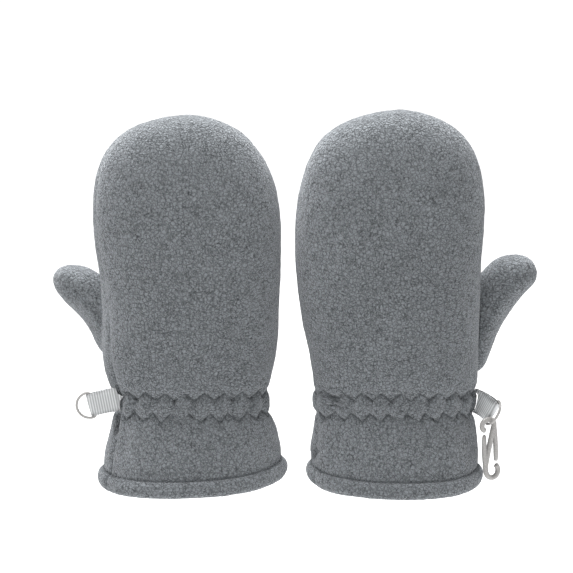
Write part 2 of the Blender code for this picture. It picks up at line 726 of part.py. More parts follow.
def clip_hang_point():
    """Where the clip hangs: a point on the left mitten's ring, near the lower end of its bar."""
    bar, along, way = ring_frame(LEFT_TAB)
    turn = math.radians(CLIP_ANGLE)
    return bar + way * (RING_ARM + RING_HALF_BAR * math.sin(turn)) - along * RING_HALF_BAR * math.cos(turn)


def curve_to_mesh(source):
    """The object as a mesh with its caps welded, in place of the curve."""
    graph = bpy.context.evaluated_depsgraph_get()
    mesh = bpy.data.meshes.new_from_object(source.evaluated_get(graph))
    shell = bmesh.new()
    shell.from_mesh(mesh)
    bmesh.ops.remove_doubles(shell, verts=shell.verts, dist=0.00001)
    bmesh.ops.recalc_face_normals(shell, faces=shell.faces)
    shell.to_mesh(mesh)
    shell.free()
    made = bpy.data.objects.new(source.name, mesh)
    made.matrix_world = source.matrix_world
    for collection in source.users_collection:
        collection.objects.link(made)
    bpy.data.objects.remove(source)
    return made


def snap_clip(name, material, collection, helpers):
    """The S-shaped clip: a spine that ends in two hooks, and two springy gates that close them."""
    hang = clip_hang_point()
    facing = unit(CLIP_FACING)
    up = np.array([0.0, 0.0, 1.0])
    right = unit(np.cross(up, facing))

    def placed(line):
        return [hang + right * u + up * v for u, v in line]

    spine = curve_to_mesh(
        wire(f"{name}_spine", hang, placed(smooth_line(CLIP_SPINE, 2)), CLIP_WIRE, False, material, collection)
    )
    spine.name = name
    for side, line in (("left", CLIP_LEFT_GATE), ("right", CLIP_RIGHT_GATE)):
        gate_line = wire(f"{name}_{side}_gate", hang, placed(line), CLIP_GATE_WIRE, False, material, helpers)
        gate = curve_to_mesh(gate_line)
        gate.hide_render = True
        gate.display_type = "WIRE"
        union = spine.modifiers.new(f"{side}_gate", "BOOLEAN")
        union.operation = "UNION"
        union.object = gate


def mitten(side, sections, puff_widths, ribs, tab, materials, collection, helpers):
    """One mitten: back and palm panels, a thumb in two halves, a webbing tab and its D-ring."""
    fleece, webbing, plastic = materials
    body_panel(f"{side}_back_panel", sections, False, puff_widths, fleece, collection)
    palm = body_panel(f"{side}_palm_panel", sections, True, PALM_PUFFS, fleece, collection)
    envelope = body_envelope(f"{side}_envelope", sections, helpers)
    cut(palm, thumb_bore(f"{side}_thumb_bore", ribs, helpers))
    for part, is_lower in (("upper", False), ("lower", True)):
        cut(thumb_half(f"{side}_thumb_{part}", ribs, is_lower, fleece, collection), envelope)
    wrist = wrist_envelope(f"{side}_wrist_envelope", sections, puff_widths, helpers)
    cut(webbing_tab(f"{side}_tab", tab, webbing, collection), wrist)
    wire(f"{side}_ring", np.array(tab.bar), ring_outline(tab), RING_WIRE, True, plastic, collection)


def main():
    """Builds the pair."""
    clear_scene()
    collection = new_collection("fleece_mittens")
    helpers = new_collection("helpers")
    materials = (
        cloth_material("fleece", FLEECE_COLOUR, 0.95),
        cloth_material("webbing", WEBBING_COLOUR, 0.7),
        cloth_material("clear_plastic", PLASTIC_COLOUR, 0.3),
    )
    mitten("right", RIGHT_BODY, RIGHT_BACK_PUFFS, RIGHT_THUMB, RIGHT_TAB, materials, collection, helpers)
    mitten("left", LEFT_BODY, LEFT_BACK_PUFFS, LEFT_THUMB, LEFT_TAB, materials, collection, helpers)
    snap_clip("clip", materials[2], collection, helpers)


main()
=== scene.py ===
"""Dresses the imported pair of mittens: brushed fleece with gathers and hems, webbing tabs, rings and clip."""

from __future__ import annotations

import json
import logging
import math
import random
from dataclasses import dataclass, field
from enum import Enum
from typing import Any, Iterable, Sequence

import bmesh
import bpy
import numpy as np
from mathutils import Matrix, Vector, noise
from mathutils.bvhtree import BVHTree
from mathutils.kdtree import KDTree

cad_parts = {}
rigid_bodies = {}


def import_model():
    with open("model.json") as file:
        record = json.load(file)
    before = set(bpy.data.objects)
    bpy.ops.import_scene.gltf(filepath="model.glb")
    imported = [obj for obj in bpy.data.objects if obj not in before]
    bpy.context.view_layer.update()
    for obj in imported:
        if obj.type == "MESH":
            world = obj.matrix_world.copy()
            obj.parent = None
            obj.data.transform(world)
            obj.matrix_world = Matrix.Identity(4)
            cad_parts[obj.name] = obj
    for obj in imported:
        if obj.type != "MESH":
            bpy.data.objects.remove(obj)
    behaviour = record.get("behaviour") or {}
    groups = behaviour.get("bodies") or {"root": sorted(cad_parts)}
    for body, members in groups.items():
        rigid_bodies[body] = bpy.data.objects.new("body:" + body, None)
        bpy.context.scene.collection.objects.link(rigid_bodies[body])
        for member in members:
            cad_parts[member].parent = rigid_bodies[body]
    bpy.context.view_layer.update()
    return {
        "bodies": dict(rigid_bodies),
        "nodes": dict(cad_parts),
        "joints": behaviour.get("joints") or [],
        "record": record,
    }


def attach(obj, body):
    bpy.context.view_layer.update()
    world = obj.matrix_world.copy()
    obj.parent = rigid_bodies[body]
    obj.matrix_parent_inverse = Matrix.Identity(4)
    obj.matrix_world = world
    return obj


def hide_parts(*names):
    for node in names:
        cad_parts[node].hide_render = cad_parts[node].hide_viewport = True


LOG = logging.getLogger("mittens")
MM = 0.001
# Point attribute of painted shade: how far the fleece and webbing colour is darkened in sewn grooves, seams
# and fold pockets.
GROOVE_SHADE = "groove_shade"
ELASTIC_HEIGHT = 1.2 * MM
FOLD_STEPS = 25
FLUTE_START = 0.8
FLUTE_TAPER = 1.5
LEAST_EASE = 0.05
PATH_STEP = 0.25 * MM
SEAM_MEETING = 0.6
SEAM_OVERLAP = 0.05 * MM
MERGE_DISTANCE = 1e-7
TINY = 1e-6
FLATTEST_PAIR = math.radians(60)
SQUAREST_PAIR = math.radians(80)


class Hand(Enum):
    """Which hand a mitten is for."""

    RIGHT = "right"
    LEFT = "left"


class Side(Enum):
    """Which panel of a mitten a fold lies on, or both of them at the edge that faces the viewer."""

    BACK = "back_panel"
    PALM = "palm_panel"
    EDGE = "panel"


class Value:
    """A shader socket or a number, whose arithmetic adds Math nodes."""

    def __init__(self, tree: "ShaderTree", source: Any) -> None:
        """Wraps a socket or a number of one tree."""
        self.tree, self.source = tree, source

    def _math(self, operation: str, *values: Any) -> "Value":
        """Adds a Math node.

        Args:
            operation: Name of the operation.
            values: Its inputs in order, sockets or numbers.

        Returns:
            The result.
        """
        inputs = {i: v for i, v in enumerate(values)}
        made = self.tree.node("ShaderNodeMath", {"operation": operation}, inputs)
        return Value(self.tree, made.outputs[0])

    def __add__(self, other: Any) -> "Value":
        """Sum."""
        return self._math("ADD", self, other)

    def __sub__(self, other: Any) -> "Value":
        """Difference."""
        return self._math("SUBTRACT", self, other)

    def __mul__(self, other: Any) -> "Value":
        """Product."""
        return self._math("MULTIPLY", self, other)

    def __rsub__(self, other: Any) -> "Value":
        """Difference from a number."""
        return self._math("SUBTRACT", other, self)

    __radd__ = __add__
    __rmul__ = __mul__

    def size(self) -> "Value":
        """The value without its sign."""
        return self._math("ABSOLUTE", self)

    def wave(self) -> "Value":
        """A sine wave from 0 to 1 that repeats at each whole number."""
        return 0.5 + 0.5 * self._math("SINE", self * (2 * math.pi))

    def smooth(self, low: float, high: float) -> "Value":
        """A soft step.

        Args:
            low: Where it leaves 0.
            high: Where it reaches 1.

        Returns:
            The step, from 0 to 1.
        """
        made = self.tree.node(
            "ShaderNodeMapRange",
            {"interpolation_type": "SMOOTHSTEP"},
            {"Value": self, "From Min": low, "From Max": high},
        )
        return Value(self.tree, made.outputs["Result"])


class ShaderTree:
    """The node tree of one new material or world."""

    def __init__(self, owner: bpy.types.Material | bpy.types.World) -> None:
        """Empties the owner's tree."""
        self.owner = owner
        owner.use_nodes = True
        self.tree = owner.node_tree
        self.tree.nodes.clear()

    def node(
        self, kind: str, settings: dict[str, Any] | None = None, inputs: dict[Any, Any] | None = None
    ) -> Any:
        """Adds a node.

        Args:
            kind: Blender's type name of the node.
            settings: Its properties, set before the sockets.
            inputs: Values or links by the socket's name or number.

        Returns:
            The node.
        """
        made = self.tree.nodes.new(kind)
        for key, value in (settings or {}).items():
            setattr(made, key, value)
        for key, value in (inputs or {}).items():
            value = value.source if isinstance(value, Value) else value
            if isinstance(value, bpy.types.NodeSocket):
                self.tree.links.new(value, made.inputs[key])
            else:
                made.inputs[key].default_value = value
        return made

    def value(self, node: Any, output: str | int = 0) -> Value:
        """An output of a node as a value."""
        return Value(self, node.outputs[output])

    def mix(self, factor: Any, first: Any, second: Any) -> Any:
        """Mixes two colours.

        Args:
            factor: Share of the second colour.
            first: Colour at 0.
            second: Colour at 1.

        Returns:
            The colour socket.
        """
        made = self.node("ShaderNodeMix", {"data_type": "RGBA"}, {0: factor, 6: first, 7: second})
        return made.outputs[2]

    def place(self) -> Any:
        """The Object coordinate socket."""
        return self.node("ShaderNodeTexCoord").outputs["Object"]

    def groove_shade(self) -> Value:
        """How much painted shade a point gets, from the point attribute set in sewn grooves, seams and fold
        pockets.
        """
        return self.value(self.node("ShaderNodeAttribute", {"attribute_name": GROOVE_SHADE}), "Fac")

    def vector(self, operation: str, first: Any, second: Any) -> Any:
        """The result socket of a Vector Math node with two inputs."""
        return self.node("ShaderNodeVectorMath", {"operation": operation}, {0: first, 1: second}).outputs[0]

    def patches(self, at: Any, size: float, detail: float = 2.0) -> Value:
        """Noise whose lumps are spread out from 0 to 1."""
        return self.noise(at, size, detail).smooth(0.3, 0.7)

    def noise(self, at: Any, size: float, detail: float = 2.0) -> Value:
        """Noise with lumps of one size.

        Args:
            at: Coordinate socket.
            size: Size of the lumps in metres.
            detail: Octaves added.

        Returns:
            The noise, about 0.5.
        """
        made = self.node("ShaderNodeTexNoise", None, {"Vector": at, "Scale": 1 / size, "Detail": detail})
        return self.value(made, "Fac")

    def bump(self, height: Any, depth: float, strength: float = 1.0) -> Any:
        """A Bump node's normal.

        Args:
            height: Height value.
            depth: Depth of a height of 1, in metres.
            strength: How much of it shows.

        Returns:
            The normal socket.
        """
        inputs = {"Height": height, "Distance": depth, "Strength": strength}
        return self.node("ShaderNodeBump", None, inputs).outputs["Normal"]

    def finish(self, inputs: dict[str, Any]) -> bpy.types.Material:
        """Ends the tree in a Principled shader with these inputs."""
        shader = self.node("ShaderNodeBsdfPrincipled", None, inputs)
        self.node("ShaderNodeOutputMaterial", None, {"Surface": shader.outputs[0]})
        return self.owner


def new_tree(name: str) -> ShaderTree:
    """The tree of a new material."""
    return ShaderTree(bpy.data.materials.new(name))


def scaled(colour: Sequence[float], share: float) -> tuple[float, float, float, float]:
    """A colour scaled by a share, with alpha 1."""
    return (colour[0] * share, colour[1] * share, colour[2] * share, 1.0)


@dataclass(frozen=True)
class Fleece:
    """Grey brushed fleece, whose pile has curled into small tufts; the tuft tops are painted lighter and the
    creases between them darker, as light and shade over the pile's relief.
    """

    name: str = "grey_fleece"
    colour: tuple[float, float, float] = (0.205, 0.221, 0.234)
    tuft: float = 1.4 * MM
    curl: float = 1.65 * MM
    warp: float = 0.65 * MM
    fibre: float = 0.55 * MM
    mottle: float = 22.0 * MM
    relief: float = 0.9 * MM
    strength: float = 0.9
    # The next five set the painted shade in the creases between tufts and along the curls; the fifth lightens
    # that painted shade in patches.
    tuft_edge: float = 0.19
    tuft_floor: float = 0.45
    curl_edge: float = 0.075
    curl_floor: float = 0.35
    shade_patchiness: float = 0.3
    fibre_share: float = 0.22
    fibre_relief: float = 0.32
    evenness: float = 0.95
    unevenness: float = 0.06
    # light and dark scale the colour: painted light on the tuft tops and painted shade in the creases; sewn is
    # the colour of the painted shade in sewn grooves, seams and fold pockets.
    light: float = 1.36
    dark: float = 0.02
    sewn: float = 0.12

    def make(self) -> bpy.types.Material:
        """Builds the material."""
        t = new_tree(self.name)
        at = t.place()
        swirl = t.node("ShaderNodeTexNoise", None, {"Vector": at, "Scale": 0.8 / self.tuft, "Detail": 1.0})
        centred = t.vector("SUBTRACT", swirl.outputs["Color"], (0.5, 0.5, 0.5))
        push = t.node("ShaderNodeVectorMath", {"operation": "SCALE"}, {0: centred, "Scale": 2 * self.warp})
        warped = t.vector("ADD", at, push.outputs[0])
        cells = t.node(
            "ShaderNodeTexVoronoi",
            {"feature": "DISTANCE_TO_EDGE"},
            {"Vector": warped, "Scale": 1 / self.tuft},
        )
        # Painted shade: tuft and curl mark the creases between tufts and along the curls, and shade darkens
        # the colour there; the same relief drives the bump.
        tuft = t.value(cells, "Distance").smooth(0.0, self.tuft_edge)
        curl = (t.noise(warped, self.curl, 1.0) - 0.5).size().smooth(0.0, self.curl_edge)
        shade_patches = self.shade_patchiness * t.patches(at, 3.0 * self.tuft, 1.0)
        fibre = t.patches(at, self.fibre)
        tufted = self.tuft_floor + (1 - self.tuft_floor) * tuft
        shade = tufted * ((self.curl_floor + shade_patches) + (1 - self.curl_floor - shade_patches) * curl)
        even = self.evenness + self.unevenness * t.patches(at, self.mottle)
        # level mixes the painted crease shade with the fibre grain and mottling, which are the cloth's own
        # tone.
        level = ((1 - self.fibre_share) * shade + self.fibre_share * fibre) * even
        height = (1 - self.fibre_relief) * shade + self.fibre_relief * fibre
        base = t.mix(level, scaled(self.colour, self.dark), scaled(self.colour, self.light))
        # The base colour is darkened further where the point attribute carries the painted shade of sewn
        # grooves, seams and fold pockets.
        return t.finish(
            {
                "Base Color": t.mix(t.groove_shade(), base, scaled(self.colour, self.sewn)),
                "Roughness": 0.96,
                "Specular IOR Level": 0.1,
                "Sheen Weight": 0.55,
                "Sheen Roughness": 0.42,
                "Sheen Tint": (0.93, 0.95, 1.0, 1.0),
                "Normal": t.bump(height, self.relief, self.strength),
            }
        )


@dataclass(frozen=True)
class Webbing:
    """Pale woven tape with ribs across it, painted darker in the rib troughs and lighter on the crests as
    shade and light, with painted shade along the pressed sewn line at its root.
    """

    name: str = "woven_webbing"
    colour: tuple[float, float, float] = (0.60, 0.615, 0.625)
    # dark and light scale the colour: painted shade in the rib troughs and painted light on the crests; sewn
    # is the colour of the painted shade at the sewn line of the root.
    dark: float = 0.5
    light: float = 1.3
    sewn: float = 0.4
    relief: float = 0.12 * MM

    def make(self) -> bpy.types.Material:
        """Builds the material."""
        t = new_tree(self.name)
        weave = t.node("ShaderNodeUVMap", {"uv_map": "weave"}).outputs[0]
        parts = t.node("ShaderNodeSeparateXYZ", None, {0: weave})
        rib, thread = t.value(parts, "X").wave(), t.value(parts, "Y").wave()
        fine = t.noise(t.place(), 0.2 * MM, 2.0)
        # level follows the ribs' relief: it drives the bump and paints the troughs darker and the crests
        # lighter.
        level = 0.5 * rib + 0.3 * rib * thread + 0.2 * fine
        base = t.mix(level, scaled(self.colour, self.dark), scaled(self.colour, self.light))
        # The base colour is darkened further by the painted shade along the pressed sewn line at the root.
        return t.finish(
            {
                "Base Color": t.mix(t.groove_shade(), base, scaled(self.colour, self.sewn)),
                "Roughness": 0.72,
                "Sheen Weight": 0.15,
                "Normal": t.bump(level, self.relief, 0.8),
            }
        )


@dataclass(frozen=True)
class ClearPlastic:
    """Milky moulded plastic that lets some light through."""

    name: str = "milky_plastic"
    colour: tuple[float, float, float] = (0.41, 0.40, 0.39)

    def make(self) -> bpy.types.Material:
        """Builds the material."""
        t = new_tree(self.name)
        at = t.place()
        cloud = t.noise(at, 3.0 * MM, 2.0)
        rub = t.noise(at, 0.5 * MM, 3.0)
        base = t.mix(cloud, scaled(self.colour, 0.85), scaled(self.colour, 1.1))
        return t.finish(
            {
                "Base Color": base,
                "Roughness": 0.2 + 0.14 * rub,
                "Transmission Weight": 0.12,
                "IOR": 1.49,
                "Normal": t.bump(rub, 0.02 * MM, 0.4),
            }
        )


@dataclass(frozen=True)
class Thread:
    """Spun sewing thread in the fleece's grey."""

    name: str = "grey_thread"
    colour: tuple[float, float, float] = (0.085, 0.095, 0.102)

    def make(self) -> bpy.types.Material:
        """Builds the material."""
        t = new_tree(self.name)
        twist = t.noise(t.place(), 0.18 * MM, 2.0)
        base = t.mix(twist, scaled(self.colour, 0.75), scaled(self.colour, 1.3))
        return t.finish({"Base Color": base, "Roughness": 0.7, "Normal": t.bump(twist, 0.05 * MM)})


@dataclass(frozen=True)
class Floor:
    """Plain pale floor, lit from below like a light table."""

    name: str = "pale_floor"
    colour: tuple[float, float, float] = (0.35, 0.35, 0.35)
    glow: float = 0.95

    def make(self) -> bpy.types.Material:
        """Builds the material."""
        t = new_tree(self.name)
        cloud = t.noise(t.place(), 0.4, 2.0)
        base = t.mix(cloud, scaled(self.colour, 0.97), scaled(self.colour, 1.03))
        return t.finish(
            {
                "Base Color": base,
                "Roughness": 0.9,
                "Emission Color": (1.0, 1.0, 1.0, 1.0),
                "Emission Strength": self.glow,
            }
        )


@dataclass(frozen=True)
class Fold:
    """One soft trough in a panel, or a ridge if its depth is below 0, in millimetres of the front view."""

    side: Side
    x0: float
    z0: float
    x1: float
    z1: float
    bow: float
    width: float
    depth: float


RIGHT_FOLDS = (
    #    side       x0    z0    x1    z1    bow  width depth
    Fold(Side.EDGE, -72.2, -3.6, -73.6, -12.6, 0.4, 1.0, 2.6),
    Fold(Side.BACK, -24.0, 10.0, -27.0, 48.0, 2.0, 6.5, 0.8),
    Fold(Side.BACK, -58.0, 9.0, -61.0, 30.0, -1.5, 4.5, 0.5),
    Fold(Side.BACK, -44.0, 12.0, -46.5, 27.0, 1.0, 3.6, 0.35),
    Fold(Side.BACK, -67.0, -7.0, -70.0, -22.0, 1.2, 2.6, 0.9),
    Fold(Side.BACK, -30.0, -9.0, -22.0, -24.0, 1.5, 3.8, 0.55),
    Fold(Side.BACK, -17.0, -7.0, -11.0, -21.0, -1.0, 2.6, 0.6),
    Fold(Side.BACK, -52.0, -10.0, -56.0, -23.0, -1.0, 3.2, 0.4),
    Fold(Side.PALM, -30.0, 10.0, -38.0, 44.0, 3.0, 6.0, 0.9),
    Fold(Side.PALM, -66.0, 20.0, -52.0, 44.0, -3.0, 4.0, 0.8),
    Fold(Side.PALM, -20.0, 12.0, -17.0, 40.0, -2.0, 5.0, 0.6),
    Fold(Side.PALM, -55.0, 58.0, -30.0, 66.0, 3.0, 6.0, 0.6),
    Fold(Side.PALM, -60.0, -8.0, -64.0, -22.0, 1.0, 3.0, 0.7),
    Fold(Side.PALM, -33.0, -9.0, -28.0, -24.0, -1.0, 3.4, 0.6),
)

LEFT_FOLDS = (
    #    side       x0    z0    x1    z1    bow  width depth
    Fold(Side.EDGE, 10.8, -18.6, 7.6, -24.0, 0.5, 0.9, 1.4),
    Fold(Side.BACK, 12.5, 5.4, 23.0, 5.8, 0.4, 0.8, 1.3),
    Fold(Side.BACK, 12.0, 3.3, 23.5, 3.1, -0.2, 0.8, 1.4),
    Fold(Side.BACK, 13.5, 1.3, 22.5, 0.7, -0.4, 0.8, 1.2),
    Fold(Side.BACK, 12.0, 9.3, 24.0, 10.2, 0.8, 1.1, 0.7),
    Fold(Side.BACK, 13.0, -3.6, 23.0, -4.6, -0.6, 1.1, 0.6),
    Fold(Side.BACK, 30.0, 11.0, 33.0, 40.0, 1.5, 5.5, 0.5),
    Fold(Side.BACK, 62.0, 10.0, 66.0, 38.0, -2.0, 5.0, 0.6),
    Fold(Side.BACK, 16.0, 9.0, 11.0, 26.0, 1.0, 3.6, 0.6),
    Fold(Side.BACK, 7.0, -8.0, 9.0, -22.0, 1.0, 2.4, 0.8),
    Fold(Side.BACK, 20.0, -9.0, 15.0, -24.0, -1.0, 3.0, 0.5),
    Fold(Side.BACK, 55.0, -8.0, 62.0, -25.0, 1.0, 3.6, 0.5),
    Fold(Side.BACK, 71.0, -7.0, 74.0, -22.0, -0.8, 2.6, 0.5),
    Fold(Side.PALM, 33.0, 10.0, 38.0, 48.0, -3.0, 6.0, 0.9),
    Fold(Side.PALM, 63.0, 22.0, 52.0, 46.0, 3.0, 4.2, 0.8),
    Fold(Side.PALM, 18.0, 12.0, 16.0, 38.0, 2.0, 5.0, 0.6),
    Fold(Side.PALM, 30.0, 64.0, 56.0, 60.0, -3.0, 6.0, 0.6),
    Fold(Side.PALM, 60.0, -8.0, 64.0, -22.0, -1.0, 3.0, 0.6),
    Fold(Side.PALM, 28.0, -9.0, 24.0, -24.0, 1.0, 3.6, 0.6),
)


@dataclass(frozen=True)
class Cut:
    """The flat cut of one piece: the sides of the rectangle round it and its area, in metres."""

    part: str
    flat: tuple[float, float]
    area: float


RIGHT_CUTS = (
    Cut("back_panel", (0.100, 0.160), 0.0139),
    Cut("palm_panel", (0.098, 0.160), 0.0137),
    Cut("thumb_upper", (0.033, 0.036), 0.00076),
    Cut("thumb_lower", (0.036, 0.040), 0.00093),
)

LEFT_CUTS = (
    Cut("back_panel", (0.100, 0.162), 0.0141),
    Cut("palm_panel", (0.098, 0.162), 0.0138),
    Cut("thumb_upper", (0.044, 0.040), 0.00115),
    Cut("thumb_lower", (0.046, 0.048), 0.00140),
)


def deselect() -> None:
    """Deselects everything."""
    bpy.ops.object.select_all(action="DESELECT")


def select_only(obj: bpy.types.Object) -> None:
    """Deselects everything, then selects one object and makes it active."""
    deselect()
    obj.select_set(True)
    bpy.context.view_layer.objects.active = obj


def apply_modifier(obj: bpy.types.Object, kind: str, **settings: Any) -> None:
    """Adds a modifier and applies it.

    Args:
        obj: The piece.
        kind: Blender's modifier type.
        settings: The modifier's properties.
    """
    select_only(obj)
    made = obj.modifiers.new(kind.lower(), kind)
    for key, value in settings.items():
        setattr(made, key, value)
    bpy.ops.object.modifier_apply(modifier=made.name)


def copy_node(frame: dict[str, Any], node: str, name: str) -> bpy.types.Object:
    """Copies a CAD node as a new piece with its points merged and its triangles paired into quads.

    Args:
        node: Name of the CAD node.
        name: Name of the new piece.

    Returns:
        The new piece.
    """
    source = frame["nodes"][node]
    obj = bpy.data.objects.new(name, source.data.copy())
    obj.data.name = name
    obj.data.materials.clear()
    bpy.context.scene.collection.objects.link(obj)
    select_only(obj)
    bpy.ops.object.mode_set(mode="EDIT")
    bpy.ops.mesh.select_all(action="SELECT")
    bpy.ops.mesh.remove_doubles(threshold=MERGE_DISTANCE)
    bpy.ops.mesh.tris_convert_to_quads(face_threshold=FLATTEST_PAIR, shape_threshold=SQUAREST_PAIR)
    bpy.ops.object.mode_set(mode="OBJECT")
    return obj


def points_of(obj: bpy.types.Object) -> np.ndarray:
    """The piece's points as an array of rows of x, y and z."""
    flat = np.empty(len(obj.data.vertices) * 3, np.float32)
    obj.data.vertices.foreach_get("co", flat)
    return flat.reshape(-1, 3).astype(float)


def normals_of(obj: bpy.types.Object) -> np.ndarray:
    """The piece's point normals as an array."""
    flat = np.empty(len(obj.data.vertices) * 3, np.float32)
    obj.data.vertices.foreach_get("normal", flat)
    return flat.reshape(-1, 3).astype(float)


def set_points(obj: bpy.types.Object, points: np.ndarray) -> None:
    """Puts the piece's points at new places."""
    obj.data.vertices.foreach_set("co", points.astype(np.float32).ravel())
    obj.data.update()


def smooth_shaded(obj: bpy.types.Object) -> None:
    """Shades the whole piece smooth."""
    select_only(obj)
    bpy.ops.object.shade_smooth()


def bell(distance: np.ndarray, width: float | np.ndarray) -> np.ndarray:
    """A bell of height 1 at distance 0, which fades over width."""
    return np.exp(-((distance / width) ** 2))


def inward_of(points: np.ndarray, centre: float) -> np.ndarray:
    """Finds the level direction from each point to the mitten's upright middle line.

    Args:
        points: The points.
        centre: The mitten's middle across, in metres.

    Returns:
        Unit directions, one row a point.
    """
    inward = np.stack([(centre - points[:, 0]) / 2, -points[:, 1], np.zeros(len(points))], axis=1)
    return inward / (np.linalg.norm(inward, axis=1)[:, None] + 1e-9)


@dataclass(frozen=True)
class StitchLine:
    """One line of stitches in a panel: its points in order, in metres."""

    panel: str
    gathered: bool
    points: tuple[tuple[float, float, float], ...]


@dataclass
class FleecePiece:
    """One cut piece of fleece, grown from its CAD solid."""

    node: str
    flat: tuple[float, float]
    area: float
    held: str = "stretched"
    levels: int = 3
    furrow_angle: float = 75.0
    hem_angle: float = 46.0
    hem_top: float = -20.0 * MM
    hem_bottom: float = -29.5 * MM
    hem_slope: float = 0.6
    hem_crease: float = 0.4
    shortest_line: int = 4
    gather_reach: float = 9.0 * MM
    plump: float = 0.55 * MM
    ease: int = 150
    ease_factor: float = 0.9
    ease_share: float = 0.85
    ease_side: float = 28.0 * MM
    ease_fade: float = 5.0 * MM
    ease_size: float = 3.5 * MM
    fold_start: float = 0.12
    fold_taper: float = 0.7
    edge_front: float = 0.6
    edge_fade: float = 5.0 * MM
    tuft_size: float = 1.9 * MM
    tuft_height: float = 0.28 * MM
    swell_size: float = 14.0 * MM
    swell_height: float = 0.5 * MM
    waist_width: float = 1.3 * MM
    waist_length: float = 3.6 * MM
    behind: float = 9.0 * MM
    # Fold depth at which the painted shade in a fold pocket is full.
    pocket_shade_depth: float = 2.2 * MM
    groove_width: float = 0.5 * MM
    groove_depth: float = 0.3 * MM
    pull_size: float = 2.2 * MM
    pull_swing: float = 0.9
    least_pull: float = 0.1
    hem_pull: float = 0.45
    hem_swing: float = 0.25
    obj: bpy.types.Object = field(init=False)
    lines: list[StitchLine] = field(init=False, default_factory=list)
    # Painted shade in the pockets of the edge folds, from 0 to 1.
    pocket_shade: np.ndarray = field(init=False)

    def grow(self, frame: dict[str, Any]) -> None:
        """Copies the solid, finds its sewn lines and rounds it.
        """
        self.obj = copy_node(frame, self.node, "fleece_" + self.node)
        if self.node.endswith("panel"):
            self._mark_lines()
        apply_modifier(self.obj, "SUBSURF", levels=self.levels, render_levels=self.levels, uv_smooth="NONE")

    def soften(self, centre: float) -> None:
        """Eases the gathers towards an even wall, more in some places than in others.

        Args:
            centre: The mitten's middle across, in metres.
        """
        points = points_of(self.obj)
        group = self.obj.vertex_groups.new(name="gathers")
        near = np.clip(2 * bell(points[:, 2] - ELASTIC_HEIGHT, self.gather_reach), 0, 1)
        share = np.zeros(len(points))
        for i in np.flatnonzero(near > LEAST_EASE):
            share[i] = self.ease_share * (1 + noise.noise(Vector(points[i]) / self.ease_size))
            group.add([int(i)], float(near[i]), "REPLACE")
        apply_modifier(
            self.obj, "SMOOTH", factor=self.ease_factor, iterations=self.ease, vertex_group=group.name
        )
        self.obj.vertex_groups.clear()
        share *= np.clip((self.ease_side - np.abs(points[:, 0] - centre)) / self.ease_fade, 0, 1)
        inward = inward_of(points, centre)
        eased = ((points_of(self.obj) - points) * inward).sum(axis=1) * np.clip(share, 0, 1)
        set_points(self.obj, points + eased[:, None] * inward)

    def _mark_lines(self) -> None:
        """Finds the stitched furrows by their folded edges, creases the hem's and keeps the paths."""
        bm = bmesh.new()
        bm.from_mesh(self.obj.data)
        crease = bm.edges.layers.float.new("crease_edge")
        sewn: dict[bool, list[bmesh.types.BMEdge]] = {True: [], False: []}
        for edge in bm.edges:
            angle = math.degrees(edge.calc_face_angle_signed(0.0))
            middle = (edge.verts[0].co + edge.verts[1].co) / 2
            if angle < -self.furrow_angle and abs(middle.z - ELASTIC_HEIGHT) < self.gather_reach:
                sewn[True].append(edge)
            elif angle < -self.hem_angle and self.hem_bottom < middle.z < self.hem_top:
                run = edge.verts[1].co - edge.verts[0].co
                if abs(run.z) < self.hem_slope * run.length:
                    edge[crease] = self.hem_crease
                    sewn[False].append(edge)
        bm.to_mesh(self.obj.data)
        for gathered, edges in sewn.items():
            for chain in chains(edges):
                if len(chain) > self.shortest_line:
                    self.lines.append(StitchLine(self.node, gathered, tuple(chain)))
        bm.free()

    def roughen(self) -> None:
        """Raises the small tufts and the slow unevenness of the cloth."""
        for name, size, height in (
            ("tufts", self.tuft_size, self.tuft_height),
            ("swell", self.swell_size, self.swell_height),
        ):
            texture = bpy.data.textures.new(f"{self.node}_{name}", "CLOUDS")
            texture.noise_scale = size
            texture.noise_depth = 1
            apply_modifier(
                self.obj,
                "DISPLACE",
                texture=texture,
                texture_coords="LOCAL",
                strength=height,
                mid_level=0.5,
            )

    def press(self, folds: Iterable[Fold], centre: float) -> None:
        """Presses the table's folds into the cloth, towards the mitten's middle, and stores painted shade for
        the pockets of the edge folds.

        Args:
            folds: The folds of this mitten.
            centre: The mitten's middle across, in metres.
        """
        points = points_of(self.obj)
        inward = inward_of(points, centre)
        t = np.linspace(0, 1, FOLD_STEPS)
        taper = np.clip(self.fold_start + (1 - self.fold_start) * t, 0, 1)
        fade = np.sin(math.pi * taper) ** self.fold_taper
        self.pocket_shade = np.zeros(len(points))
        for fold in folds:
            if not self.node.endswith(fold.side.value):
                continue
            a, b = np.array([fold.x0, fold.z0]), np.array([fold.x1, fold.z1])
            across = np.array([b[1] - a[1], a[0] - b[0]]) / np.linalg.norm(b - a)
            path = (a + (b - a) * t[:, None] + across * (4 * fold.bow * t * (1 - t))[:, None]) * MM
            gaps = np.linalg.norm(points[:, None, (0, 2)] - path[None, :, :], axis=2)
            depth = fold.depth * MM * fade[gaps.argmin(axis=1)] * bell(gaps.min(axis=1), fold.width * MM)
            # Edge folds also store painted shade in their pocket, darker where the fold is deeper.
            if fold.side is Side.EDGE:
                depth *= np.clip(self.edge_front - points[:, 1] / self.edge_fade, 0, 1)
                self.pocket_shade = np.maximum(self.pocket_shade, np.clip(depth / self.pocket_shade_depth, 0, 1))
            points += depth[:, None] * inward
        set_points(self.obj, points)

